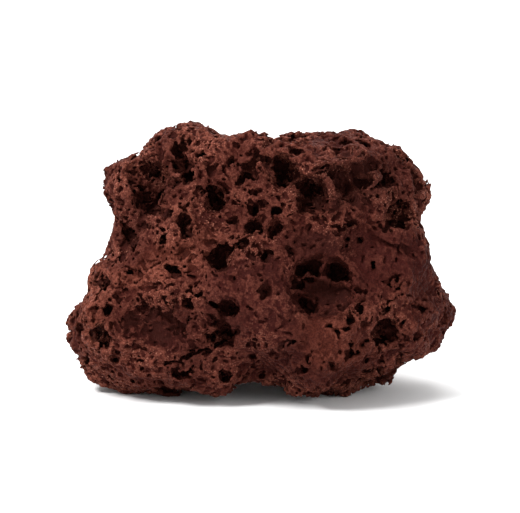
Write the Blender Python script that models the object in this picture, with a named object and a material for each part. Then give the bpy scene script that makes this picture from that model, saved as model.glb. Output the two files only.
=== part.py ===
"""A lava rock: one natural lump of red scoria, 150 mm long, standing on its flattest side.

Frame: +X runs along the rock, -Y is its best side, +Z is up. The origin is the middle of its
box, on the surface that it stands on. Lengths in the tables are in millimetres.
"""

import math
from bisect import bisect_right

import bmesh
import bpy
from mathutils import Euler, Matrix, Vector, noise
from mathutils.bvhtree import BVHTree

MM = 0.001

# The rock's outline as seen from the front, as (x, z), anticlockwise from the right-hand tip.
# It dips below z = 0 where the rock stands: the floor cut makes its flat feet there.
OUTLINE = [
    (79, 26), (78, 30), (75.5, 33), (73.5, 37), (72, 39), (72, 43), (70.5, 47), (66.5, 50.5),
    (63.5, 54), (64.5, 57), (62.5, 61), (63, 67), (66, 73), (67, 77.5), (64, 83), (60.5, 89),
    (56, 94.5), (51, 95.5), (44, 98), (40, 99.5), (36, 99.5), (30, 99), (20, 100), (12, 99),
    (7, 96), (0, 94.5), (-5, 95), (-10, 98.5), (-15, 103), (-22, 103.5), (-28, 103),
    (-32, 100), (-36, 98), (-39, 96), (-43, 92), (-49, 89), (-53, 87.5), (-57, 81),
    (-57, 78), (-55, 71), (-51.5, 65.5), (-52, 59.5), (-54.5, 57), (-56, 54), (-61, 49),
    (-62.5, 41.5), (-62, 37), (-68, 34), (-74, 27), (-71.5, 19), (-69.5, 14), (-65, 8.5),
    (-60, 2.5), (-56, 2), (-50, 0), (-41, -2), (-33, -1), (-25, 1), (-19, 6), (-10, 9),
    (-5, 9.5), (1, 7), (8, 8.5), (16, 4.5), (22, -0.5), (29, -2), (36, 2), (44, 4.5), (51, 3),
    (56.5, 8), (60.5, 13.5), (67, 15), (73, 18.5),
]
MIDDLE_Z = 48
FRONT_DEPTH = 41
BACK_DEPTH = 45
# Below 1, the section through the rock is squarer than an ellipse.
SQUARENESS = 0.74
# The outline's small corners fade this far towards the front and the back, as a share of the depth.
CORNER_FADE = 0.5
# The outline is evened out over this angle halfway through the rock, and over more at its ends.
SMOOTHING_ANGLE = math.radians(18)
SMOOTHING_AT_ENDS = math.radians(58)

# Broad swells and hollows, each as (where, how wide, which way and how far it pushes the surface).
SWELLS = [
    ((-4, -42, 39), 21, (0, -8, 0)),  # the smooth swell low in the middle
    ((25, -40, 20), 17, (0, -8, -1)),  # the smooth swell at the foot
    ((-60, -24, 29), 16, (-1, -9, 0)),  # the left-hand lobe
    ((-31, -38, 51), 14, (0, -6, 0)),  # the sloping shelf over the left-hand dish
    ((56, -26, 29), 18, (1, -7, 0)),  # the right-hand lobe
    ((33, -34, 37), 9, (0, -4, 0)),  # the ridge right of the large pocket
    ((-24, -38, 81), 26, (0, 8, 0)),  # the upper left, which leans back
    ((-7, -38, 69), 13, (0, 5, 0)),  # the valley above the middle swell
    ((32, -34, 85), 20, (0, -6, 0)),  # the upper right block, which overhangs
    ((38, -38, 61), 12, (0, 9, 0)),  # the cove under the upper right block
    ((17, -38, 61), 9, (0, 5, 0)),  # the ceiling over the large pocket
    ((-54, -28, 65), 12, (3, 6, 0)),  # the waist on the left
    ((-35, -44, 32), 12, (0, 8, 0)),  # the shallow dish low on the left
    ((-40, -30, 81), 9, (0, 5, 0)),  # the shallow dish high on the left
    ((-13, -46, 28), 9, (0, 6, 0)),  # the cleft under the middle swell
    ((2, -38, 12), 12, (0, 5, 2)),  # the arch between the feet
    ((-62, 26, 44), 24, (7, -3, 0)),  # the left end, narrower towards the back
    ((60, 22, 44), 22, (-3, 5, 0)),  # the right end, broader towards the back
    ((10, 44, 98), 34, (0, -5, -7)),  # the top, lower towards the back
    ((-30, 40, 30), 26, (0, 5, 0)),  # the back's lower swell
    ((34, 40, 62), 24, (0, 4, 0)),  # the back's upper swell
    ((4, 46, 52), 14, (0, -3, 0)),  # the hollow between them
    ((-30, 36, 78), 16, (0, -6, 0)),  # the back's sloping shoulder
    ((40, 40, 22), 15, (0, -5, 0)),  # the undercut low on the back
]

# The point that the front's pockets are sighted from.
EYE = (0, -547, 128)
# The gas pockets large enough to matter to the solid. Each is (where the sight line to it crosses
# the plane y = 0, as x and z, how far its centre is below the surface, radii, tilt about Y in
# degrees). Those on the back are sighted straight along Y.
FRONT_POCKETS = [
    ((23, 38.5), 0.5, (10.3, 12.5, 10.3), 0),  # the large pocket's bowl
    ((23, 44.5), 1, (9.5, 10, 5.5), 0),  # its upper half
    ((19, 46.5), 7, (5, 12, 3.6), 0),  # the deep hole in its roof
    ((52, 68), 3, (4.8, 8, 6), -12),
    ((48, 22), 3, (5.2, 9, 6), -25),
    ((20, 77), 2, (6, 8, 6), 0),
    ((8, 84), 2, (5.5, 8, 5.5), 20),
    ((35, 77.5), 1, (6, 7, 4), 0),
    ((-16, 74), 3, (3.2, 8, 5), 45),
    ((-15, 51), 3, (4.3, 8, 4), 0),
    ((-13, 31.5), 3, (4.3, 8, 4), 0),
    ((-13, 21.5), 3, (4.3, 8, 5), 60),
    ((-62, 21), 2, (3.6, 7, 5), 20),
    ((-42, 77), 0, (6, 4, 9), 0),
]
BACK_POCKETS = [
    ((-34, 56), 2, (7, 8, 5.5), 15),
    ((24, 38), 2, (6, 9, 7), -20),
    ((44, 76), 2, (5, 8, 6), 0),
    ((-8, 26), 1, (5.5, 7, 4), 30),
]

ROUGHNESS = 2.8
ROUGHNESS_SIZE = 15
# Slower lumps, which push the front and the back only and leave the outline as it is.
LUMPS = 6
LUMPS_SIZE = 36
VOXEL = 1.8
SMOOTHINGS = 3
KEPT_SHARE = 0.23
FLOOR_CUT = 40


def clear_scene():
    """Removes whatever the scene holds."""
    for obj in list(bpy.data.objects):
        bpy.data.objects.remove(obj)


def polar_outline():
    """The outline as (angle, radius) about the rock's middle, sorted by angle."""
    turns = [(math.atan2(z - MIDDLE_Z, x), math.hypot(x, z - MIDDLE_Z)) for x, z in OUTLINE]
    return sorted(turns)


def outline_radius(turns, angle):
    """How far the outline is from the middle at this angle."""
    angle = math.remainder(angle, math.tau)
    after = bisect_right(turns, (angle, 0.0)) % len(turns)
    (angle_a, radius_a), (angle_b, radius_b) = turns[after - 1], turns[after]
    span = (angle_b - angle_a) % math.tau
    share = ((angle - angle_a) % math.tau) / span
    return radius_a + (radius_b - radius_a) * share


def smooth_radius(turns, angle, window):
    """The outline's mean distance over a window to each side of this angle."""
    steps = range(-6, 7)
    return sum(outline_radius(turns, angle + window * s / 6) for s in steps) / len(steps)


def loft(turns, direction):
    """The point of the plain lofted form in this direction from the rock's middle."""
    angle = math.atan2(direction.z, direction.x)
    reach = math.hypot(direction.x, direction.z) ** SQUARENESS
    depth = abs(direction.y) ** SQUARENESS
    corner = math.exp(-((depth / CORNER_FADE) ** 2))
    window = SMOOTHING_ANGLE + (SMOOTHING_AT_ENDS - SMOOTHING_ANGLE) * depth
    even = smooth_radius(turns, angle, window)
    radius = even + (outline_radius(turns, angle) - even) * corner
    y = depth * (BACK_DEPTH if direction.y > 0 else -FRONT_DEPTH)
    return Vector((radius * reach * math.cos(angle), y, MIDDLE_Z + radius * reach * math.sin(angle)))


def swell(point):
    """The point moved by every swell and hollow near it."""
    moved = point.copy()
    for where, width, push in SWELLS:
        nearness = math.exp(-((point - Vector(where)).length_squared / width**2))
        moved += Vector(push) * nearness
    return moved


def roughen(point, direction):
    """The point moved in or out by fractal noise."""
    bump = noise.fractal(point / ROUGHNESS_SIZE, 0.9, 2.0, 4) * ROUGHNESS
    lump = noise.fractal(point / LUMPS_SIZE, 1.0, 2.0, 2) * LUMPS
    return point + direction * (bump + lump * abs(direction.y))


def add_object(name, mesh_maker):
    """A new mesh object, filled by mesh_maker."""
    mesh = bpy.data.meshes.new(name)
    shape = bmesh.new()
    mesh_maker(shape)
    shape.to_mesh(mesh)
    shape.free()
    obj = bpy.data.objects.new(name, mesh)
    bpy.context.scene.collection.objects.link(obj)
    return obj


def make_lump(shape):
    """The rock's whole form, before any pocket is opened."""
    turns = polar_outline()
    bmesh.ops.create_icosphere(shape, subdivisions=6, radius=1)
    for vertex in shape.verts:
        direction = vertex.co.normalized()
        vertex.co = roughen(swell(loft(turns, direction)), direction) * MM


def below_surface(tree, opening, depth, side):
    """The point this deep in the rock, behind an opening on its front (side -1) or back (side 1)."""
    target = Vector((opening[0], 0, opening[1])) * MM
    start = Vector(EYE) * MM if side < 0 else target + Vector((0, 0.2, 0))
    sight = (target - start).normalized()
    return tree.ray_cast(start, sight)[0] + sight * depth * MM


def make_pockets(shape, lump):
    """Every gas pocket, as ellipsoids that overlap where the pockets run together."""
    surface = bmesh.new()
    surface.from_mesh(lump.data)
    tree = BVHTree.FromBMesh(surface)
    surface.free()
    for side, pockets in ((-1, FRONT_POCKETS), (1, BACK_POCKETS)):
        for opening, depth, radii, tilt in pockets:
            turn = Euler((0, math.radians(tilt), 0)).to_matrix().to_4x4()
            size = Matrix.Scale(MM, 4) @ Matrix.Diagonal((*radii, 1))
            place = Matrix.Translation(below_surface(tree, opening, depth, side)) @ turn @ size
            bmesh.ops.create_icosphere(shape, subdivisions=3, radius=1, matrix=place)


def make_floor_cut(shape):
    """A block whose top is the surface that the rock stands on."""
    height = FLOOR_CUT * MM
    place = Matrix.Translation((0, 0, -height / 2)) @ Matrix.Diagonal((0.3, 0.3, height, 1))
    bmesh.ops.create_cube(shape, size=1, matrix=place)


def cut(obj, cutter, overlapping=False):
    """Takes cutter away from obj."""
    cutter.hide_render = True
    cutter.display_type = "WIRE"
    boolean = obj.modifiers.new(cutter.name, "BOOLEAN")
    boolean.operation = "DIFFERENCE"
    boolean.object = cutter
    boolean.use_self = overlapping


def scoria():
    """Dull, dark red-brown stone."""
    material = bpy.data.materials.new("scoria")
    material.use_nodes = True
    shader = material.node_tree.nodes["Principled BSDF"]
    shader.inputs["Base Color"].default_value = (0.09, 0.027, 0.02, 1)
    shader.inputs["Roughness"].default_value = 0.85
    return material


def centre_on_base(obj):
    """Slides obj so that the middle of its box is over the origin."""
    bpy.context.view_layer.update()
    solid = obj.evaluated_get(bpy.context.evaluated_depsgraph_get())
    corners = [Vector(corner) for corner in solid.bound_box]
    obj.location.x = -(min(c.x for c in corners) + max(c.x for c in corners)) / 2
    obj.location.y = -(min(c.y for c in corners) + max(c.y for c in corners)) / 2


def make_rock():
    """The rock: the lump, opened by its pockets, evened out, and cut flat where it stands."""
    rock = add_object("lava_rock", make_lump)
    rock.data.materials.append(scoria())
    pockets = add_object("pockets", lambda shape: make_pockets(shape, rock))
    cut(rock, pockets, overlapping=True)
    remesh = rock.modifiers.new("even_mesh", "REMESH")
    remesh.mode = "VOXEL"
    remesh.voxel_size = VOXEL * MM
    smooth = rock.modifiers.new("no_steps", "SMOOTH")
    smooth.iterations = SMOOTHINGS
    thin = rock.modifiers.new("fewer_faces", "DECIMATE")
    thin.ratio = KEPT_SHARE
    cut(rock, add_object("floor_cut", make_floor_cut))
    return rock


clear_scene()
centre_on_base(make_rock())
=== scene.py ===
"""Builds the lava rock's visible stone: a lump of red scoria, carved out by its gas bubbles."""

import math
from itertools import product

import bpy
import numpy as np
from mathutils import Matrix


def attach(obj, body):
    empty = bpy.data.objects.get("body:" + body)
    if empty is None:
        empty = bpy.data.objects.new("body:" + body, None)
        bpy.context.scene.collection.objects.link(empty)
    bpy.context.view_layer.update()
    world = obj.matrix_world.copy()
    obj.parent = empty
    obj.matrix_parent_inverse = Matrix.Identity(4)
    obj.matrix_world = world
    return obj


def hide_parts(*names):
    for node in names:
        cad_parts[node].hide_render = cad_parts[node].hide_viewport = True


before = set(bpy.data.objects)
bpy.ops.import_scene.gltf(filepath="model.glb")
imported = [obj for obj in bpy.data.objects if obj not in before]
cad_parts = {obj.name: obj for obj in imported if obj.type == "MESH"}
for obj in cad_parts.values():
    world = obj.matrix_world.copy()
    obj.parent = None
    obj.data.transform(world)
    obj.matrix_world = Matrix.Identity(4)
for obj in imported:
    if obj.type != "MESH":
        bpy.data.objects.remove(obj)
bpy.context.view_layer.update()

import openvdb
from bpy.props import FloatProperty, FloatVectorProperty, IntProperty, PointerProperty
from mathutils import Vector

bl_info = {
    "name": "Lava Rock",
    "version": (1, 0, 0),
    "blender": (4, 5, 0),
    "location": "3D Viewport > Sidebar > Lava Rock",
    "description": "Carves a lump of scoria out of its gas bubbles and gives it its stone",
    "category": "Add Mesh",
}

MM = 0.001

# Where the front is looked at from, in mm. Each place on the front is given as (x, z) on the
# plane y = 0, where the sight line from here crosses it.
EYE = (0.0, -547.0, 128.0)
# How far from there the front is looked for, in mm.
SIGHT = (470.0, 600.0)

# The large hollow, as several pockets that run together: (x, z), (half width, half height, half
# depth), tilt in degrees (anticlockwise), the y of the pocket's middle, and how square it is from
# 2 for an oval upwards. All in mm.
BIG_HOLLOW = (
    ((23, 38.8), (11.4, 10.8, 12.5), 0, -44.5, 3),
    ((23, 44.8), (10.8, 5.5, 10), 0, -39, 3),
    ((18.2, 46.9), (5, 3.6, 12), 0, -30, 2),
    ((28.6, 46.3), (3.9, 3.9, 10), 0, -31, 2),
    ((14.6, 40.2), (2.6, 3, 6), 0, -32, 2),
    ((16.6, 32.2), (4.4, 1.8, 7), -25, -34, 2),
)
# The other pockets on the front, in the same way, but ending with how far the pocket's middle is
# below the surface around it.
UPPER_POCKETS = (
    ((-41, 78.5), (5.8, 9, 6), 10, 1.5),
    ((-40.5, 85), (3.4, 3, 5), 0, 2),
    ((34, 80), (7.4, 5, 6), 0, 0.5),
    ((-42, 79), (6, 5, 3.5), -50, 0),
    ((-42, 72), (5, 5.5, 4), 0, 0.5),
    ((-46, 86), (4, 3, 3), 30, 0.5),
    ((-38, 84), (2.6, 2, 3), -30, 0.5),
    ((-16, 74.5), (5, 2.2, 8), -50, 2.5),
    ((-20, 77), (2.2, 1.6, 5), -30, 1.5),
    ((-30, 87), (2.6, 3, 5), 20, 1),
    ((-31, 92), (1.6, 2.4, 4), 0, 1),
    ((-22, 90), (1.8, 1.4, 4), 10, 1),
    ((-27, 80), (1.8, 1.5, 3), -30, 0.8),
    ((-5, 85.5), (2.5, 2.2, 4.5), 0, 1),
    ((-8, 80), (2, 1.6, 4), 20, 1),
    ((-3.5, 82), (2.4, 1.5, 4), -20, 1),
    ((-11, 88), (1.6, 1.2, 3), 0, 0.6),
    ((-3, 69), (2, 2.2, 4.5), 0, 1.2),
    ((-4, 62.5), (2.8, 2.6, 5), 0, 1.5),
    ((-6, 56.5), (3, 2, 5), 10, 1.2),
    ((-15.5, 51), (4, 3.6, 7), 20, 2),
    ((-13, 55), (2.4, 2.4, 4), 0, 1),
    ((1, 51.5), (1.9, 1.8, 6), 0, 1.5),
    ((6.5, 69), (2, 1.6, 3), 0, 1),
    ((6, 63), (2.8, 2.4, 4), 0, 1),
    ((-29.3, 64), (2.4, 3.8, 4.5), 10, 1.2),
    ((-26.5, 60.5), (2, 2, 4), 0, 1),
    ((-37, 58), (1.7, 1.3, 4), -20, 1),
    ((-48.7, 58), (2.2, 5.5, 4.5), 22, 1.2),
    ((-36, 66.5), (3, 1.8, 3), 0, 0.8),
    ((8, 84.5), (4.6, 5, 8), 20, 2),
    ((3.5, 87.5), (2.8, 2, 5), -10, 1),
    ((8, 79.5), (2.6, 1.8, 6), 0, 1.5),
    ((18.5, 79), (4.2, 3, 7), 0, 2),
    ((20, 74), (5.6, 4.4, 7), 15, 1.5),
    ((14, 91), (3.2, 1, 3.5), 0, 1),
    ((16, 95), (1.8, 1.1, 3), 0, 1),
    ((25, 85.5), (1.6, 2, 4), 0, 1),
    ((33, 79.5), (3.6, 3.2, 5), 10, 1.2),
    ((38.5, 81), (4, 2.6, 4.5), -10, 1),
    ((33, 74), (3.6, 1.6, 3), 10, 0.8),
    ((47, 80), (4, 2.2, 5), 5, 1.2),
    ((52.8, 69), (3.8, 4, 6), 0, 1.5),
    ((50.5, 66), (2.8, 2.4, 6), 20, 1.5),
    ((29, 63), (2.4, 0.8, 3), 0, 0.6),
    ((33.5, 58.5), (1.2, 0.9, 3), 0, 0.6),
    ((38, 58), (1.1, 0.9, 3), 0, 0.6),
    ((35, 65), (1.5, 1, 3), 0, 0.6),
    ((31, 92), (3, 2, 3), 0, 0.6),
    ((42, 88), (2.6, 2, 3), 0, 0.6),
    ((38, 95), (2.4, 1.2, 3), 0, 0.6),
)
LOWER_POCKETS = (
    ((-39, 25.5), (12, 8, 3.2), 10, -0.8),
    ((-60.5, 40), (1.7, 2.4, 5), 30, 1.2),
    ((-62.5, 21.5), (3.2, 3.6, 6.5), 20, 2.4),
    ((-60.5, 19), (2, 2, 4), 0, 1),
    ((-56, 11), (2, 1.7, 4), 20, 1),
    ((-58, 31), (2, 1.6, 3.5), 0, 1),
    ((-50, 45), (1.6, 1.3, 3), 0, 0.8),
    ((-33, 46), (3.2, 1.5, 4.5), 5, 1.2),
    ((-28, 33), (1.5, 3.2, 4), -10, 1),
    ((-33.5, 31), (1.3, 1.6, 3), 0, 0.8),
    ((-36.5, 35.5), (1.6, 1.2, 3), 0, 0.8),
    ((-23, 37), (1.4, 1.4, 3), 0, 0.8),
    ((-13, 31.8), (3.6, 2.4, 6), 10, 2),
    ((-16.5, 33.6), (2.4, 1.4, 5), -20, 1.4),
    ((-9.6, 30.2), (2, 2.4, 5), 20, 1.4),
    ((-13.5, 28), (1.6, 1.6, 4), 0, 1),
    ((-10.5, 33), (1.6, 1, 4), 30, 1),
    ((-13.6, 23.8), (4.4, 2.6, 6.5), -15, 2),
    ((-17, 21.6), (2.6, 1.5, 5), 10, 1.4),
    ((-9.6, 22.4), (2.2, 1.6, 5), -30, 1.4),
    ((-11.5, 20.5), (1.4, 3, 6), 30, 1.8),
    ((-16.5, 17.5), (3.6, 0.9, 4), 18, 1.2),
    ((2.5, 38), (2.2, 3, 3.2), 0, 0.7),
    ((-33, 11), (2.2, 0.8, 3), 20, 1),
    ((-27, 13), (7, 0.9, 3.5), 18, 0.9),
    ((-22, 15.5), (4, 0.7, 3), 18, 0.8),
    ((-29, 6), (3.4, 2, 4), 0, 1.2),
    ((-13, 5), (2.6, 1.6, 4), 0, 1),
    ((-3, 13), (1.6, 1, 3), -30, 0.8),
    ((8, 13.5), (4, 3.2, 2.6), 0, 0),
    ((12, 19), (3.2, 0.9, 3), 15, 0.8),
    ((17, 8), (2.4, 1.8, 4), 35, 1),
    ((19, 10.5), (1.4, 0.8, 3), 30, 0.8),
    ((29, 8), (2.2, 1.5, 3.5), 0, 0.9),
    ((38, 38), (1.5, 1.8, 4), 30, 1),
    ((38, 31.5), (1.5, 2.2, 4.5), -10, 1.2),
    ((34.5, 26.5), (1.8, 2.1, 5), -10, 1.2),
    ((27, 24.5), (1.5, 1.1, 3.5), 20, 0.9),
    ((30.5, 21.5), (1.1, 1.1, 3), 0, 0.9),
    ((33.2, 23), (1.3, 0.9, 3), 20, 0.9),
    ((35, 15.5), (1.5, 2.4, 5.5), 0, 1.4),
    ((49, 31), (1.4, 1.7, 4), -30, 1),
    ((51, 43), (1.3, 1, 3), 0, 0.8),
    ((53.2, 39), (1.1, 0.8, 2.5), 0, 0.6),
    ((43, 48.5), (1.1, 1.6, 3), 0, 0.8),
    ((47.4, 22.2), (4.8, 5, 6.5), -30, 1.6),
    ((45.5, 18.8), (2.6, 2.2, 5), 0, 1.6),
    ((62, 30.5), (2.6, 1.6, 3), -20, 0.7),
    ((60, 21), (2.4, 2, 2.4), 0, 0.3),
    ((55, 26.5), (1.1, 1.1, 3), 0, 0.7),
    ((40, 17), (0.9, 0.9, 3), 0, 0.8),
    ((43, 7.5), (1.8, 1.3, 3.5), 10, 0.9),
    ((46.5, 7), (1.8, 1.1, 3.5), 0, 0.9),
)
# Long creases on the front: from, to (both (x, z)), half width, depth.
CREASES = (
    ((-45, 37.5), (-31, 41.5), 0.9, 1.6),
    ((-36, 10.5), (-15, 17.5), 0.8, 1.8),
    ((-50, 66), (-47.5, 54), 1.0, 1.6),
    ((-22, 35), (-17, 27), 0.9, 1.4),
    ((14, 29), (30, 27.5), 0.7, 1.0),
    ((10, 50), (14, 33), 0.9, 1.2),
    ((40, 60), (60, 52), 1.2, 1.0),
    ((45, 33), (60, 36), 0.7, 0.9),
    ((41, 5), (40.6, 27), 1.1, 2.4),
    ((-30, 52), (-22, 44), 0.9, 1.2),
    ((12, 62), (28, 59), 0.9, 1.0),
)
# Strands of stone left across the large hollow: from, to (both (x, z, y)), and half width.
STRANDS = (
    ((23.8, 52, -37.5), (24.2, 43.5, -34), 0.6),
    ((24.2, 43.8, -34), (28.5, 41, -33.5), 0.8),
    ((28.5, 41, -33.5), (34.2, 39.6, -37), 0.7),
    ((28.5, 48, -35), (31.5, 41.5, -35.5), 0.35),
    ((30.5, 48, -35.5), (33.5, 42, -37), 0.35),
    ((11.5, 43.8, -35), (24, 43.2, -33), 0.55),
    ((11.5, 37.5, -39), (17.5, 36.5, -34), 0.7),
)
# Where the front's skin is smooth and close: (x, z), half sizes, and how smooth from 0 to 1.
SMOOTH_SKIN = (
    ((-4, 34), (18, 13), 1.0),
    ((-1, 44), (10, 7), 0.7),
    ((24, 14), (19, 13), 1.0),
    ((50, 46), (18, 13), 1.0),
    ((36, 55), (28, 6), 0.8),
    ((23, 40), (13, 14), 1.0),
    ((-38, 23), (13, 9), 0.6),
    ((60, 26), (15, 12), 0.55),
    ((6, 13), (10, 8), 0.6),
    ((-15, 12), (14, 6), 0.4),
    ((38, 88), (22, 14), 0.25),
)
# Behind this y range, in mm, chance lays smooth patches about this long instead.
FRONT_ENDS = (8, 22)
SKIN_PATCH = 46
# Where the front has painted shade (below 0), or painted light that is partly rust colour (above
# 0): (x, z), half sizes, and how much.
PAINTED_SHADE_AND_LIGHT = (
    ((-41, 77), (8, 12), -0.9),
    ((36, 80), (16, 11), -1.3),
    ((6, 81), (9, 9), -0.3),
    ((-16, 74), (7, 6), -0.2),
    ((20, 76), (8, 8), -0.4),
    ((52, 69), (7, 7), -0.4),
    ((22, 56.5), (15, 6), -1.0),
    ((47, 22), (5, 5), -0.6),
    ((-50, 57), (4.5, 9), -0.9),
    ((-40, 27), (14, 9), -0.1),
    ((-13, 27), (8, 9), -0.8),
    ((-28, 11), (14, 4), -0.5),
    ((8, 14), (9, 4), -0.4),
    ((44, 6), (8, 5), -0.3),
    ((-15, 51), (7, 6), -0.4),
    ((-34, 51), (16, 6), 1.0),
    ((-48, 43), (13, 5), 0.8),
    ((-64, 30), (7, 13), 0.9),
    ((-28, 96), (14, 6), 0.5),
    ((-52, 86), (6, 6), 0.5),
    ((-30, 70), (8, 5), 0.6),
    ((-22, 60), (12, 5), 0.6),
    ((18, 92), (12, 4), 0.4),
    ((-52, 14), (10, 6), 0.3),
    ((-4, 38), (14, 9), 0.3),
    ((28, 15), (15, 10), 1.0),
    ((24, 25), (12, 4), 0.5),
    ((56, 38), (16, 10), 0.4),
    ((58, 24), (12, 8), 0.3),
    ((30, 66), (14, 5), 0.3),
)

# How much larger than listed the two groups are opened: across, and inwards.
UPPER_GROWTH = (1.2, 1.4)
LOWER_GROWTH = (1.15, 1.3)
# How much deeper than listed a pocket's middle lies, in mm, and where the surface around its
# mouth is judged: how many places, and how far out in half widths.
SINK = 0.6
PLACES_AROUND = 8
AROUND = 1.3
# How long the straight grooves are that a crease is made of, in mm.
GROOVE = 2.5
# Half the side of the block that the plug over the large hollow is worked out in, in mm.
PLUG_REACH = 18

# The bubbles that are left to chance, from large to small: smallest and largest radius in mm, how
# many on the whole stone, how much thinner they are where the skin is smooth, and how far apart
# their middles are at least, in radii.
BUBBLES = (
    (3.4, 5.4, 46, 0.9, 2.4),
    (2.0, 3.4, 230, 0.9, 2.0),
    (1.2, 2.0, 560, 0.9, 2.1),
    (0.75, 1.2, 3000, 0.9, 1.9),
    (0.5, 0.75, 12000, 0.85, 1.8),
)
# How rough the broken surface is, from coarse to fine: wavelength, height on frothy stone, height
# on smooth skin, all in mm.
ROUGHNESS = (
    (14.0, 0.5, 0.5),
    (7.0, 0.5, 0.3),
    (3.4, 0.24, 0.17),
    (1.9, 0.15, 0.16),
    (1.0, 0.14, 0.14),
)
# How many of these size classes, and of these wavelengths, belong to the coarse carving.
COARSE = 3
# On the front the larger bubbles are listed one by one: chance opens those above each radius only
# behind the y beside it. Both in mm.
PLACED_BY_HAND = ((3, -22), (1.9, -28))
# A bubble left to chance stays clear of the far side of a thin ridge, so that no light shows
# through: this far behind it, the lump is still at least as deep as the wall. In mm.
BEHIND = 1.2
WALL = 0.8
# The stone loses this much all over, in mm, so that its bumps end where the solid does.
WEATHERED = 0.3
# How the carving wanders, so that no pocket is a true oval: wavelength and reach, in mm. Then
# the room that is left for it round a pocket, and round a strand or a crease.
WANDER = ((7, 0.65), (2.6, 0.34))
POCKET_ROOM = 1.5
ROD_ROOM = 2.5
# What random waves are multiplied by to run from about -1 to 1.
WAVE_HEIGHT = 3.2
# How many cells inside and outside the solid the distance to its surface is worked out.
BAND = 12
# Skin smoothness and the stone's bulges vary slowly, and are worked out at every so many cells.
SKIN_STEP = 4
BULGE_STEP = 3
# How wide a neighbourhood tells a thin edge, and a wider one that counts less, in mm.
EDGE_WIDTHS = (0.6, 1.6)
WIDER_SHARE = 0.4
# The gap between the views of the flat layout, in mm, and how many cells its slopes span.
MAP_GAP = 3
MAP_SPAN = 10

# The rock's middle, which the camera and two of the lights are aimed at, in m.
MIDDLE = (0, 0, 0.0515)
# The soft lights: name, place, size, power in watts, and what each is aimed at, in m.
LIGHTS = (
    ("key", (-0.5, -0.42, 0.75), 0.28, 11, MIDDLE),
    ("fill", (0.7, -0.7, 0.5), 0.5, 3, MIDDLE),
    ("wash", (0, 0.7, 1.7), 1.2, 30, (0, 1.2, 0.3)),
)
STUDIO_LIGHT = 0.7
# The floor's half width, its front and back ends, and how far it bends and rises behind, in m.
FLOOR_HALF = 4
FLOOR_FRONT = -4.0
FLOOR_BACK = 0.7
BEND = 0.5
BACKDROP = 2.2

# The scoria's lesser colours: dull drifts, rusty stone that is partly painted light, pale streaks,
# dark specks and painted glints.
DRIFT = (0.022, 0.0042, 0.0034, 1)
RUST_AND_PAINTED_LIGHT = (0.078, 0.0175, 0.0095, 1)
STREAK = (0.08, 0.02, 0.014, 1)
SPECK = (0.018, 0.0033, 0.0025, 1)
PAINTED_GLINT = (0.38, 0.15, 0.1, 1)


class StoneSizes(bpy.types.PropertyGroup):
    """How finely the stone is carved."""

    cell: FloatProperty(
        name="Grain", description="Spacing of the carving lattice", default=0.0004, unit="LENGTH"
    )
    margin: FloatProperty(
        name="Margin", description="Room left round the frame's solid", default=0.003, unit="LENGTH"
    )
    evening: FloatProperty(
        name="Evening", description="Facets smaller than this are evened out", default=0.0014,
        unit="LENGTH",
    )
    seed: IntProperty(name="Seed", description="Which arrangement of small bubbles", default=7)


class StoneColours(bpy.types.PropertyGroup):
    """The scoria's colours."""

    body: FloatVectorProperty(
        name="Body", description="Dull red-brown of the broken stone", subtype="COLOR", size=4,
        default=(0.037, 0.0063, 0.0042, 1),
    )
    # Partly rust colour and partly painted highlight, for thin edges and grains.
    edge: FloatVectorProperty(
        name="Edges", description="Rusty orange of thin edges and grains", subtype="COLOR", size=4,
        default=(0.15, 0.042, 0.027, 1),
    )
    # Painted shade: the colour that recesses, pits and deep places are darkened towards.
    painted_shade: FloatVectorProperty(
        name="Pits", description="Near-black brown inside the bubbles", subtype="COLOR", size=4,
        default=(0.026, 0.0058, 0.004, 1),
    )
    skin: FloatVectorProperty(
        name="Skin", description="Maroon of the smooth skin", subtype="COLOR", size=4,
        default=(0.035, 0.0061, 0.0046, 1),
    )


class StageSizes(bpy.types.PropertyGroup):
    """The floor, the lights and the camera."""

    floor: FloatVectorProperty(
        name="Floor", description="Colour of the floor", subtype="COLOR", size=4,
        default=(0.9, 0.9, 0.9, 1),
    )
    distance: FloatProperty(
        name="Distance", description="From the camera to the rock's middle", default=0.5528,
        unit="LENGTH",
    )
    elevation: FloatProperty(
        name="Elevation", description="How far the camera looks down", default=math.radians(8),
        subtype="ANGLE",
    )
    lens: FloatProperty(
        name="Lens", description="Focal length in millimetres", default=100, unit="CAMERA"
    )


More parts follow.
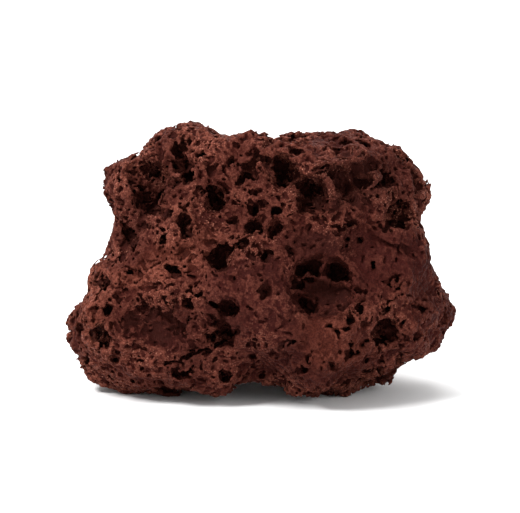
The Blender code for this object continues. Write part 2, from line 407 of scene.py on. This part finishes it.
class Lattice:
    """A block of evenly spaced points, in mm, holding how far each is outside the stone."""

    def __init__(self, node, cell, margin):
        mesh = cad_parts[node].data
        mesh.calc_loop_triangles()
        points = np.empty(len(mesh.vertices) * 3, np.float32)
        mesh.vertices.foreach_get("co", points)
        corners = np.empty(len(mesh.loop_triangles) * 3, np.int32)
        mesh.loop_triangles.foreach_get("vertices", corners)
        points = points.reshape(-1, 3) / MM
        self.cell = cell
        self.first = np.floor((points.min(0) - margin) / cell).astype(int)
        last = np.ceil((points.max(0) + margin) / cell).astype(int)
        self.shape = tuple(int(n) for n in last - self.first + 1)
        solid = openvdb.FloatGrid.createLevelSetFromPolygons(
            points,
            triangles=corners.reshape(-1, 3).astype(np.uint32),
            transform=openvdb.createLinearTransform(voxelSize=cell),
            halfWidth=BAND,
        )
        self.field = np.empty(self.shape, np.float32)
        solid.copyToArray(self.field, ijk=tuple(int(n) for n in self.first))
        spans = zip(self.first, self.shape)
        self.axes = [(np.arange(n, dtype=np.float32) + start) * cell for start, n in spans]
        self.wander = None

    def where(self, index):
        """The places in mm of lattice points given by index."""
        return (index + self.first) * self.cell

    def nearest(self, places):
        """The index of the lattice point nearest to each place."""
        index = np.rint(places / self.cell).astype(int) - self.first
        return tuple(np.clip(index, 0, np.array(self.shape) - 1).T)

    def block(self, low, high):
        """The slices that cover the box from low to high, or None where it is off the lattice."""
        start = np.maximum(np.floor(low / self.cell).astype(int) - self.first, 0)
        stop = np.minimum(np.ceil(high / self.cell).astype(int) - self.first + 1, self.shape)
        if (stop <= start).any():
            return None
        return tuple(slice(a, b) for a, b in zip(start, stop))

    def offsets(self, part, centre):
        """Each wandering lattice point of the block, measured from centre, as three arrays."""
        x = self.axes[0][part[0], None, None] - centre[0]
        y = self.axes[1][None, part[1], None] - centre[1]
        z = self.axes[2][None, None, part[2]] - centre[2]
        if self.wander is None:
            return x, y, z
        return x + self.wander[0][part], y + self.wander[1][part], z + self.wander[2][part]

    def drift(self, place):
        """How far the lattice wanders at this place."""
        if self.wander is None:
            return np.zeros(3)
        at = self.nearest(np.atleast_2d(place))
        return np.array([float(w[at][0]) for w in self.wander])


def stretched(values, count, step, start):
    """Reads a cubic spline through the rows of values at count places, step apart."""
    at = start + np.arange(count) * step
    base = np.floor(at).astype(int)
    t = at - base
    curves = ((1 - t) ** 3, 3 * t**3 - 6 * t**2 + 4, -3 * t**3 + 3 * t**2 + 3 * t + 1, t**3)
    weights = np.stack(curves, 1).astype(np.float32) / 6
    rows = np.empty((count, *values.shape[1:]), np.float32)
    for row in range(count):
        rows[row] = np.tensordot(weights[row], values[base[row] : base[row] + 4], axes=1)
    return rows


def waves(lattice, wavelength, chance):
    """Smooth random waves over the whole lattice, about -1 to 1, this long in mm."""
    step = 2 * lattice.cell / wavelength
    counts = [int(n * step) + 5 for n in lattice.shape]
    values = chance.standard_normal(counts, dtype=np.float32)
    for axis in (2, 1, 0):
        moved = np.ascontiguousarray(np.moveaxis(values, axis, 0))
        rows = stretched(moved, lattice.shape[axis], step, chance.random())
        values = np.moveaxis(rows, 0, axis)
    return values * WAVE_HEIGHT


def blurred(field, width):
    """The field averaged over a cube 2 * width + 1 wide, twice, which is close to a Gaussian."""
    for _ in range(2):
        for axis in range(3):
            pad = [(0, 0)] * 3
            pad[axis] = (width, width)
            wide = np.moveaxis(np.pad(field, pad, mode="edge"), axis, 0)
            size = field.shape[axis]
            total = wide[:size].copy()
            for shift in range(1, 2 * width + 1):
                total += wide[shift : shift + size]
            field = np.moveaxis(total / (2 * width + 1), 0, axis)
    return np.ascontiguousarray(field)


def sighted(x, z):
    """(where the sight line starts, its direction) through (x, z) on the plane y = 0."""
    eye = np.array(EYE)
    line = np.array((x, 0.0, z)) - eye
    return eye, line / np.linalg.norm(line)


def on_front(lattice, x, z):
    """The point of the surface that is seen through (x, z), in mm, and the sight line."""
    eye, line = sighted(x, z)
    far = np.arange(*SIGHT, lattice.cell / 2)
    places = eye + far[:, None] * line
    inside = lattice.field[lattice.nearest(places)] < 0
    return places[int(np.argmax(inside))], line


def seen_through(x, y, z):
    """(x, z) on the plane y = 0 where the sight line to each place crosses it."""
    share = EYE[1] / (EYE[1] - y)
    return EYE[0] + (x - EYE[0]) * share, EYE[2] + (z - EYE[2]) * share


def skin_smoothness(lattice, chance):
    """How smooth the skin is at each lattice point, from 0 for froth to 1 for close skin."""
    step = SKIN_STEP
    coarse = [axis[::step].astype(np.float64) for axis in lattice.axes]
    x, y, z = np.meshgrid(*coarse, indexing="ij")
    across, up = seen_through(x, y, z)
    front = np.zeros(x.shape)
    for (at_x, at_z), (half_x, half_z), amount in SMOOTH_SKIN:
        near = ((across - at_x) / half_x) ** 2 + ((up - at_z) / half_z) ** 2
        front = np.maximum(front, amount * np.clip(1.45 - near, 0, 0.6) / 0.6)
    patches = waves(lattice, SKIN_PATCH, chance)[::step, ::step, ::step]
    elsewhere = np.clip((patches - 0.1) * 1.6, 0, 0.9)
    turned = np.clip((y - FRONT_ENDS[0]) / (FRONT_ENDS[1] - FRONT_ENDS[0]), 0, 1)
    smooth = front * (1 - turned) + elsewhere * turned
    for axis in range(3):
        smooth = np.repeat(smooth, step, axis=axis)
    trimmed = smooth[tuple(slice(0, n) for n in lattice.shape)]
    return blurred(trimmed.astype(np.float32), 3)


def hollow_out(lattice, centre, radii, turn, power=2):
    """Opens one bubble: radii lie along the rows of turn, and a higher power squares it off."""
    reach = max(radii) * 1.15 + 3 * lattice.cell
    middle = centre - lattice.drift(centre)
    part = lattice.block(middle - reach - POCKET_ROOM, middle + reach + POCKET_ROOM)
    if part is None:
        return
    x, y, z = lattice.offsets(part, centre)
    total = 0
    for row, radius in zip(turn, radii):
        total = total + np.abs((row[0] * x + row[1] * y + row[2] * z) / radius) ** power
    depth = (1 - total ** (1 / power)) * min(radii)
    lattice.field[part] = np.maximum(lattice.field[part], depth)


def rod(lattice, start, end, width, fill):
    """A round-ended rod of stone where fill is true, or a groove where it is not."""
    low = np.minimum(start, end) - width - ROD_ROOM
    high = np.maximum(start, end) + width + ROD_ROOM
    part = lattice.block(low, high)
    x, y, z = lattice.offsets(part, start)
    line = end - start
    along = (x * line[0] + y * line[1] + z * line[2]) / (line @ line)
    along = np.clip(along, 0, 1)
    gap = np.sqrt(
        (x - along * line[0]) ** 2 + (y - along * line[1]) ** 2 + (z - along * line[2]) ** 2
    )
    if fill:
        lattice.field[part] = np.minimum(lattice.field[part], gap - width)
    else:
        lattice.field[part] = np.maximum(lattice.field[part], width - gap)


def sight_axes(line, tilt):
    """A pocket's three axes: across and up as the front is seen, turned by tilt, and inwards."""
    across = np.cross(line, (0.0, 0.0, 1.0))
    across /= np.linalg.norm(across)
    up = np.cross(across, line)
    turn = math.radians(tilt)
    first = across * math.cos(turn) + up * math.sin(turn)
    second = up * math.cos(turn) - across * math.sin(turn)
    return np.array((first, second, line))


def at_depth(x, z, y):
    """The point at this y that is seen through (x, z), and the sight line."""
    eye, line = sighted(x, z)
    return eye + line * ((y - eye[1]) / line[1]), line


def open_large_hollow(lattice):
    """Opens the large hollow, a squarish bowl with holes sunk deeper in its floor."""
    for (x, z), radii, tilt, y, power in BIG_HOLLOW:
        centre, line = at_depth(x, z, y)
        turn = sight_axes(line, tilt)
        hollow_out(lattice, centre + lattice.drift(centre), radii, turn, power)


def mouth(lattice, x, z, across, up):
    """Where a pocket's mouth lies on its sight line, judged from the surface around it."""
    eye, line = sighted(x, z)
    reaches = []
    for turn in np.linspace(0, 2 * math.pi, PLACES_AROUND, endpoint=False):
        place, _ = on_front(lattice, x + across * math.cos(turn), z + up * math.sin(turn))
        reaches.append(np.linalg.norm(place - eye))
    return eye + line * np.median(reaches), line


def open_pockets(lattice, pockets, growth):
    """Opens the pockets that are listed for the front."""
    wider, deeper = growth
    placed = []
    for (x, z), (across, up, inwards), tilt, depth in pockets:
        surface, line = mouth(lattice, x, z, across * wider * AROUND, up * wider * AROUND)
        radii = (across * wider, up * wider, inwards * deeper)
        placed.append((surface + line * (depth + SINK), radii, sight_axes(line, tilt)))
    for centre, radii, turn in placed:
        hollow_out(lattice, centre + lattice.drift(centre), radii, turn)


def score_creases(lattice):
    """Cuts the long creases, each as a chain of short grooves that follows the surface."""
    for (x0, z0), (x1, z1), width, depth in CREASES:
        count = max(3, int(math.dist((x0, z0), (x1, z1)) / GROOVE))
        chain = []
        for share in np.linspace(0, 1, count):
            surface, line = on_front(lattice, x0 + (x1 - x0) * share, z0 + (z1 - z0) * share)
            ends = math.sin(math.pi * (0.12 + 0.76 * share))
            chain.append(surface + line * (depth * ends - width))
        for start, end in zip(chain, chain[1:]):
            rod(lattice, start, end, width, False)


def leave_strands(lattice):
    """Leaves the strands of stone that cross the large hollow."""
    for (x0, z0, y0), (x1, z1, y1), width in STRANDS:
        start, _ = at_depth(x0, z0, y0)
        end, _ = at_depth(x1, z1, y1)
        rod(lattice, start, end, width, True)


def random_turn(chance):
    """Three axes at right angles, facing any way."""
    q, _ = np.linalg.qr(chance.standard_normal((3, 3)))
    return q


def slope_at(field, index, step=1):
    """The outward normal of the surface at these lattice points, judged over step points."""
    normal = np.empty((len(index), 3))
    for axis in range(3):
        ahead = index.copy()
        behind = index.copy()
        ahead[:, axis] = np.minimum(ahead[:, axis] + step, field.shape[axis] - 1)
        behind[:, axis] = np.maximum(behind[:, axis] - step, 0)
        normal[:, axis] = field[tuple(ahead.T)] - field[tuple(behind.T)]
    return normal / np.maximum(np.linalg.norm(normal, axis=1), 1e-6)[:, None]


def scatter_bubbles(lattice, lump, smooth, bubbles, chance):
    """Opens the bubbles of one size class at the surface as it now is, most in the froth."""
    low, high, count, thinning, spacing = bubbles
    skin = np.argwhere(np.abs(lattice.field) < lattice.cell * 0.6)
    tries = skin[chance.integers(0, len(skin), count * 5)]
    keep = chance.random(len(tries)) > smooth[tuple(tries.T)] * thinning
    tries = tries[keep]
    normals = slope_at(lattice.field, tries)
    places = lattice.where(tries)
    for limit, front in PLACED_BY_HAND:
        if low > limit:
            clear = places[:, 1] > front
            places, normals = places[clear], normals[clear]
            break
    taken = {}
    made = 0
    pitch = high * spacing
    for place, normal in zip(places, normals):
        if made >= count:
            break
        radius = low + (high - low) * chance.random() ** 2
        home = tuple(np.floor(place / pitch).astype(int))
        close = False
        for dx, dy, dz in product((-1, 0, 1), repeat=3):
            for middle, reach in taken.get((home[0] + dx, home[1] + dy, home[2] + dz), ()):
                gap = place - middle
                close = close or gap @ gap < ((radius + reach) * spacing / 2) ** 2
        depth = radius * (0.1 + 0.6 * chance.random())
        radii = radius * (0.75 + 0.6 * chance.random(3))
        centre = place - normal * depth
        back = lattice.nearest(np.atleast_2d(centre - normal * (radius + BEHIND)))
        if close or lump[back][0] > -WALL:
            continue
        taken.setdefault(home, []).append((place, radius))
        made += 1
        hollow_out(lattice, centre + lattice.drift(centre), radii, random_turn(chance))


def roughen(lattice, smooth, chance, octaves):
    """Adds rough waves to the surface, higher where the stone is frothy."""
    for wavelength, froth_height, skin_height in octaves:
        height = froth_height + (skin_height - froth_height) * smooth
        lattice.field += waves(lattice, wavelength, chance) * height


def carve(sizes):
    """(lattice of the carved stone, field of the uncarved lump, field of skin smoothness)."""
    chance = np.random.default_rng(sizes.seed)
    lattice = Lattice("lava_rock", sizes.cell / MM, sizes.margin / MM)
    lattice.field = blurred(lattice.field, max(1, round(sizes.evening / sizes.cell / 2)))
    smooth = skin_smoothness(lattice, chance)
    lattice.field += WEATHERED
    roughen(lattice, smooth, chance, ROUGHNESS[:COARSE])
    lump = lattice.field.copy()
    lattice.wander = [
        sum(waves(lattice, wavelength, chance) * reach for wavelength, reach in WANDER)
        for _ in range(3)
    ]
    score_creases(lattice)
    open_pockets(lattice, UPPER_POCKETS, UPPER_GROWTH)
    open_pockets(lattice, LOWER_POCKETS, LOWER_GROWTH)
    open_large_hollow(lattice)
    leave_strands(lattice)
    for bubbles in BUBBLES[:COARSE]:
        scatter_bubbles(lattice, lump, smooth, bubbles, chance)
    roughen(lattice, smooth, chance, ROUGHNESS[COARSE:])
    for bubbles in BUBBLES[COARSE:]:
        scatter_bubbles(lattice, lump, smooth, bubbles, chance)
    floor = lattice.axes[2][None, None, :]
    lattice.field = np.maximum(lattice.field, -floor)
    return lattice, lump, smooth


def closed(lump, lattice):
    """The lump with the large hollow's mouth filled in, to judge how deep a point lies, for the
    painted shade in hollows.
    """
    (x, z), (across, up, inwards), _, y, _ = BIG_HOLLOW[0]
    centre, line = at_depth(x, z + 1, y + inwards - 1)
    part = lattice.block(centre - PLUG_REACH, centre + PLUG_REACH)
    offset = np.stack(np.broadcast_arrays(*lattice.offsets(part, centre)), -1)
    along = np.abs(offset @ sight_axes(line, 0).T) / (across + 2, up + 2, inwards + 0.5)
    plug = ((along**4).sum(-1) ** 0.25 - 1) * across
    filled = lump.copy()
    filled[part] = np.minimum(filled[part], plug)
    return filled


def surface_of(lattice):
    """(points in mm, quads) of the stone's surface, with the quads turned to face outwards."""
    rim = 3 * lattice.cell
    grid = openvdb.FloatGrid(rim)
    grid.copyFromArray(np.clip(lattice.field, -rim, rim), ijk=tuple(int(n) for n in lattice.first))
    grid.transform = openvdb.createLinearTransform(voxelSize=lattice.cell)
    grid.gridClass = openvdb.GridClass.LEVEL_SET
    points, quads = grid.convertToQuads()
    return points.astype(np.float64), quads.astype(np.int64)[:, ::-1]


def largest_shell(points, quads):
    """Only the largest connected shell, without loose crumbs and sealed bubbles."""
    group = np.arange(len(points))
    ends = np.concatenate([quads[:, [0, 1]], quads[:, [1, 2]], quads[:, [2, 3]]])
    while True:
        low = np.minimum(group[ends[:, 0]], group[ends[:, 1]])
        fresh = group.copy()
        np.minimum.at(fresh, group[ends[:, 0]], low)
        np.minimum.at(fresh, group[ends[:, 1]], low)
        fresh = fresh[fresh]
        if (fresh == group).all():
            break
        group = fresh
    names, counts = np.unique(group, return_counts=True)
    kept = group == names[np.argmax(counts)]
    renumbered = np.cumsum(kept) - 1
    return points[kept], renumbered[quads[kept[quads[:, 0]]]]


def read_at(field, lattice, points, step=1):
    """The value at each point of a field on every step-th lattice point, read between them."""
    place = (points / lattice.cell - lattice.first) / step
    base = np.clip(np.floor(place).astype(int), 0, np.array(field.shape) - 2)
    share = np.clip(place - base, 0, 1)
    total = np.zeros(len(points))
    for corner in range(8):
        ahead = np.array((corner & 1, corner >> 1 & 1, corner >> 2 & 1))
        weight = np.where(ahead, share, 1 - share).prod(1)
        total += field[tuple((base + ahead).T)] * weight
    return total


def add_mesh(name, points, quads):
    """A mesh object of these points and quads, built in one go."""
    mesh = bpy.data.meshes.new(name)
    mesh.vertices.add(len(points))
    mesh.vertices.foreach_set("co", (points * MM).astype(np.float32).ravel())
    mesh.loops.add(quads.size)
    mesh.loops.foreach_set("vertex_index", quads.astype(np.int32).ravel())
    mesh.polygons.add(len(quads))
    mesh.polygons.foreach_set("loop_start", np.arange(0, quads.size, 4, dtype=np.int32))
    mesh.update(calc_edges=True)
    mesh.shade_smooth()
    obj = bpy.data.objects.new(name, mesh)
    bpy.context.scene.collection.objects.link(obj)
    return obj


def add_values(mesh, name, values):
    """Stores one number per point, for the stone's colours to read."""
    mesh.attributes.new(name, "FLOAT", "POINT").data.foreach_set("value", values.astype(np.float32))


def painted_shade_and_light(points):
    """How much painted shade (below 0), or painted light that is partly rust colour (above 0), the
    front has at each point.
    """
    across, up = seen_through(*points.T)
    total = np.zeros(len(points))
    for (at_x, at_z), (half_x, half_z), amount in PAINTED_SHADE_AND_LIGHT:
        near = ((across - at_x) / half_x) ** 2 + ((up - at_z) / half_z) ** 2
        total += amount * np.exp(-near)
    return total * np.clip((-points[:, 1] - 5) / 15, 0, 1)


def lay_out_map(mesh, points, quads, lump, lattice):
    """Lays the surface out flat in six views, side by side in one square."""
    middles = points[quads].mean(1)
    index = np.stack(lattice.nearest(middles), 1)
    facing = slope_at(lump, index, MAP_SPAN)
    main = np.abs(facing).argmax(1)
    ahead = facing[np.arange(len(facing)), main] > 0
    low = points.min(0)
    size = points.max(0) - low
    gap = MAP_GAP
    rows = {1: (0, 0), 0: (size[0] + gap, 0), 2: (0, 2 * (size[2] + gap))}
    flat = np.empty((len(quads), 4, 2))
    corners = points[quads] - low
    for axis, (right, up) in ((1, (0, 2)), (0, (1, 2)), (2, (0, 1))):
        for side in (False, True):
            chosen = (main == axis) & (ahead == side)
            start = np.array(rows[axis], float)
            if side and axis == 2:
                start[0] += size[0] + gap
            elif side:
                start[1] += size[2] + gap
            flat[chosen] = corners[chosen][:, :, (right, up)] + start
    tallest = 2 * size[2] + size[1] + 2 * gap
    square = max(2 * size[0] + gap, tallest, size[0] + size[1] + gap) + 2
    layer = mesh.uv_layers.new(name="OFBake")
    layer.uv.foreach_set("vector", ((flat + 1) / square).astype(np.float32).ravel())


class Nodes:
    """Short ways to add nodes to a material and to join them."""

    def __init__(self, name):
        self.material = bpy.data.materials.new(name)
        self.material.use_nodes = True
        self.tree = self.material.node_tree
        self.shader = self.tree.nodes["Principled BSDF"]

    def add(self, kind, **settings):
        node = self.tree.nodes.new(kind)
        for key, value in settings.items():
            setattr(node, key, value)
        return node

    def join(self, source, target):
        self.tree.links.new(source, target)

    def fill(self, sockets, values):
        """Sets each socket to its number or colour, or joins its source to it."""
        for socket, value in zip(sockets, values):
            if isinstance(value, (int, float, tuple)):
                socket.default_value = value
            else:
                self.join(value, socket)

    def read(self, name):
        return self.add("ShaderNodeAttribute", attribute_name=name).outputs["Fac"]

    def noise(self, scale, detail, roughness=0.55, lean=None):
        places = self.add("ShaderNodeTexCoord").outputs["Object"]
        if lean is not None:
            turned = self.add("ShaderNodeMapping")
            turned.inputs["Rotation"].default_value = lean
            turned.inputs["Scale"].default_value = (1, 1, 0.3)
            self.join(places, turned.inputs["Vector"])
            places = turned.outputs["Vector"]
        node = self.add("ShaderNodeTexNoise")
        node.inputs["Scale"].default_value = scale
        node.inputs["Detail"].default_value = detail
        node.inputs["Roughness"].default_value = roughness
        self.join(places, node.inputs["Vector"])
        return node.outputs["Fac"]

    def ramp(self, value, low, high, to_low=0.0, to_high=1.0):
        node = self.add("ShaderNodeMapRange", clamp=True)
        node.interpolation_type = "SMOOTHSTEP"
        node.inputs["From Min"].default_value = low
        node.inputs["From Max"].default_value = high
        node.inputs["To Min"].default_value = to_low
        node.inputs["To Max"].default_value = to_high
        self.join(value, node.inputs["Value"])
        return node.outputs["Result"]

    def maths(self, operation, first, second):
        node = self.add("ShaderNodeMath", operation=operation)
        self.fill(node.inputs, (first, second))
        return node.outputs["Value"]

    def times(self, first, *others):
        """All of these multiplied together."""
        for other in others:
            first = self.maths("MULTIPLY", first, other)
        return first

    def blend(self, share, first, second):
        node = self.add("ShaderNodeMix", data_type="RGBA")
        sockets = [s for s in node.inputs if s.enabled]
        self.fill(sockets, (share, first, second))
        return next(s for s in node.outputs if s.enabled)

    def bump(self, height, distance, strength, under=None):
        node = self.add("ShaderNodeBump")
        node.inputs["Distance"].default_value = distance
        node.inputs["Strength"].default_value = strength
        self.join(height, node.inputs["Height"])
        if under is not None:
            self.join(under, node.inputs["Normal"])
        return node.outputs["Normal"]


def colour_stone(n, colours, grain, streaks):
    """Colours the stone, from its broad drifts down to its grains, with painted light, painted
    shade and painted glints.
    """
    body, rust_and_highlight_colour, painted_shade_colour, skin = (
        tuple(colour) for colour in (colours.body, colours.edge, colours.painted_shade, colours.skin)
    )
    edge, depth, bulge, shade_and_light = (n.read(name) for name in ("edge", "depth", "bulge", "shade_and_light"))
    froth = n.maths("SUBTRACT", 1.0, n.read("smooth"))
    patches = n.noise(75, 3)
    speck = n.noise(1700, 2, 0.6)
    # Maroon skin or browner froth, with dull drifts, painted shade and painted light (partly rust
    # colour) over broad places, and painted shade in broad hollows.
    shade = n.blend(froth, skin, body)
    shade = n.blend(n.ramp(n.noise(28, 3), 0.35, 0.7, 0, 0.5), shade, DRIFT)
    # Painted light, partly rust colour, where the patches are above 0, and painted shade where they
    # are below 0.
    shade = n.blend(n.ramp(shade_and_light, 0.0, 1.0, 0, 0.6), shade, RUST_AND_PAINTED_LIGHT)
    shade = n.blend(n.ramp(shade_and_light, 0.0, -1.0, 0, 0.75), shade, painted_shade_colour)
    # Painted shade in broad hollows.
    shade = n.blend(n.ramp(bulge, 0.2, -1.3, 0, 0.75), shade, painted_shade_colour)
    # Pale streaks and dark specks.
    shade = n.blend(n.ramp(streaks, 0.5, 0.72, 0, 0.35), shade, STREAK)
    specks = n.times(n.ramp(speck, 0.38, 0.6, 0.6, 0), n.ramp(froth, 0, 1, 1.0, 0.9))
    shade = n.blend(specks, shade, SPECK)
    # Rust colour, partly painted highlight, along the thin edges, most in the froth, and painted
    # glints on some of its grains.
    rust_and_highlight = n.times(
        n.ramp(edge, 0.05, 0.42),
        n.ramp(grain, 0.38, 0.68, 0.12, 1.0),
        n.ramp(patches, 0.38, 0.62, 0.5, 1.2),
        n.ramp(bulge, -0.8, 1.0, 0.5, 1.0),
        n.ramp(shade_and_light, -1.0, 1.0, 0.4, 1.4),
        n.ramp(froth, 0, 1, 0.45, 1.0),
    )
    shade = n.blend(rust_and_highlight, shade, rust_and_highlight_colour)
    painted_glints = n.times(
        n.ramp(speck, 0.59, 0.7),
        n.ramp(froth, 0, 1, 0.2, 0.9),
        n.ramp(patches, 0.42, 0.64, 0.15, 1.0),
        n.ramp(edge, -0.1, 0.2),
    )
    shade = n.blend(painted_glints, shade, PAINTED_GLINT)
    # Painted shade: darker the deeper it lies below the stone's outside, and darkest in concave
    # pits.
    shade = n.blend(n.ramp(depth, 2.5, 9, 0, 0.6), shade, painted_shade_colour)
    pit_shade = n.times(n.ramp(depth, 0.6, 3.5, 0, 0.85), n.ramp(edge, 0.35, -0.25))
    n.join(n.blend(pit_shade, shade, painted_shade_colour), n.shader.inputs["Base Color"])


def scoria(colours):
    """Dull red-brown stone: rusty, partly as painted highlight, on its thin edges, maroon on its
    skin, near black by painted shade in its hollows, with painted glints.
    """
    n = Nodes("scoria")
    grain = n.noise(900, 4, 0.7)
    streaks = n.noise(800, 4, 0.6, (0.3, 0.5, 0.2))
    wrinkles = n.noise(420, 3, 0.6, (-0.2, -0.7, 0.4))
    colour_stone(n, colours, grain, streaks)
    n.join(n.ramp(grain, 0.3, 0.7, 0.78, 0.55), n.shader.inputs["Roughness"])
    n.shader.inputs["IOR"].default_value = 1.15
    n.shader.inputs["Specular IOR Level"].default_value = 0.3
    fine = n.bump(n.noise(2600, 3, 0.65), 0.0002, 0.7)
    fine = n.bump(streaks, 0.0006, 0.8, fine)
    fine = n.bump(wrinkles, 0.0006, 0.6, fine)
    n.join(n.bump(grain, 0.00042, 0.75, fine), n.shader.inputs["Normal"])
    return n.material


class LAVAROCK_OT_stone(bpy.types.Operator):
    """Carves the stone out of the frame's solid and gives it its surface"""

    bl_idname = "lavarock.stone"
    bl_label = "Carve the Stone"

    def execute(self, context):
        sizes = context.scene.lava_stone
        lattice, lump, smooth = carve(sizes)
        points, quads = largest_shell(*surface_of(lattice))
        points[:, 2] = np.maximum(points[:, 2], 0)
        stone = add_mesh("scoria_lump", points, quads)
        near, far = (round(width / lattice.cell) for width in EDGE_WIDTHS)
        edge = read_at(blurred(lattice.field, near), lattice, points)
        wide = read_at(blurred(lattice.field, far), lattice, points)
        add_values(stone.data, "edge", edge + WIDER_SHARE * wide)
        step = BULGE_STEP
        around = blurred(np.ascontiguousarray(lattice.field[::step, ::step, ::step]), 4)
        # Patches of painted shade and painted light on the front, the light partly rust colour.
        add_values(stone.data, "shade_and_light", painted_shade_and_light(points))
        # Bulge and depth, which the colours use for painted shade in hollows.
        add_values(stone.data, "bulge", read_at(around, lattice, points, step))
        add_values(stone.data, "depth", -read_at(closed(lump, lattice), lattice, points))
        add_values(stone.data, "smooth", read_at(smooth, lattice, points))
        lay_out_map(stone.data, points, quads, lump, lattice)
        stone.data.materials.append(scoria(context.scene.lava_colours))
        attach(stone, "root")
        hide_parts("lava_rock")
        return {"FINISHED"}


def add_light(name, place, size, power, target):
    """A soft square light aimed at target."""
    lamp = bpy.data.lights.new(name, "AREA")
    lamp.size = size
    lamp.energy = power
    obj = bpy.data.objects.new(name, lamp)
    obj.location = place
    obj.rotation_euler = (target - Vector(place)).to_track_quat("-Z", "Y").to_euler()
    bpy.context.scene.collection.objects.link(obj)


def add_floor(colour):
    """A wide pale floor that curves up behind the rock into a backdrop."""
    profile = [(FLOOR_FRONT, 0.0), (FLOOR_BACK, 0.0)]
    for step in range(1, 13):
        turn = math.radians(7.5 * step)
        profile.append((FLOOR_BACK + BEND * math.sin(turn), BEND * (1 - math.cos(turn))))
    profile.append((FLOOR_BACK + BEND, BACKDROP))
    verts = [(x, y, z) for y, z in profile for x in (-FLOOR_HALF, FLOOR_HALF)]
    faces = [(2 * i, 2 * i + 1, 2 * i + 3, 2 * i + 2) for i in range(len(profile) - 1)]
    mesh = bpy.data.meshes.new("floor")
    mesh.from_pydata(verts, [], faces)
    mesh.shade_smooth()
    obj = bpy.data.objects.new("floor", mesh)
    n = Nodes("pale_floor")
    n.shader.inputs["Base Color"].default_value = colour
    n.shader.inputs["Roughness"].default_value = 0.9
    n.shader.inputs["Specular IOR Level"].default_value = 0.1
    mesh.materials.append(n.material)
    bpy.context.scene.collection.objects.link(obj)


class LAVAROCK_OT_stage(bpy.types.Operator):
    """Sets out the floor, the soft lights and the camera"""

    bl_idname = "lavarock.stage"
    bl_label = "Set the Stage"

    def execute(self, context):
        stage = context.scene.lava_stage
        add_floor(stage.floor)
        for name, place, size, power, target in LIGHTS:
            add_light(name, place, size, power, Vector(target))
        world = bpy.data.worlds.new("studio")
        world.use_nodes = True
        world.node_tree.nodes["Background"].inputs["Color"].default_value = (1, 1, 1, 1)
        world.node_tree.nodes["Background"].inputs["Strength"].default_value = STUDIO_LIGHT
        context.scene.world = world
        context.scene.view_settings.view_transform = "Standard"
        camera = bpy.data.cameras.new("camera")
        camera.lens = stage.lens
        obj = bpy.data.objects.new("camera", camera)
        tilt = stage.elevation
        away = Vector((0, -math.cos(tilt), math.sin(tilt)))
        obj.location = Vector(MIDDLE) + away * stage.distance
        obj.rotation_euler = (-away).to_track_quat("-Z", "Y").to_euler()
        context.scene.collection.objects.link(obj)
        context.scene.camera = obj
        return {"FINISHED"}


class LAVAROCK_PT_panel(bpy.types.Panel):
    bl_label = "Lava Rock"
    bl_idname = "LAVAROCK_PT_panel"
    bl_space_type = "VIEW_3D"
    bl_region_type = "UI"
    bl_category = "Lava Rock"

    def draw(self, context):
        column = self.layout.column()
        for group in (context.scene.lava_stone, context.scene.lava_colours):
            for name in group.__annotations__:
                column.prop(group, name)
        column.operator("lavarock.stone")
        for name in context.scene.lava_stage.__annotations__:
            column.prop(context.scene.lava_stage, name)
        column.operator("lavarock.stage")


CLASSES = (
    StoneSizes,
    StoneColours,
    StageSizes,
    LAVAROCK_OT_stone,
    LAVAROCK_OT_stage,
    LAVAROCK_PT_panel,
)


def register():
    for cls in CLASSES:
        bpy.utils.register_class(cls)
    bpy.types.Scene.lava_stone = PointerProperty(type=StoneSizes)
    bpy.types.Scene.lava_colours = PointerProperty(type=StoneColours)
    bpy.types.Scene.lava_stage = PointerProperty(type=StageSizes)


def unregister():
    del bpy.types.Scene.lava_stage
    del bpy.types.Scene.lava_colours
    del bpy.types.Scene.lava_stone
    for cls in reversed(CLASSES):
        bpy.utils.unregister_class(cls)


def main():
    register()
    bpy.ops.lavarock.stone()
    bpy.ops.lavarock.stage()
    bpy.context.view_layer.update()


if __name__ == "__main__":
    main()
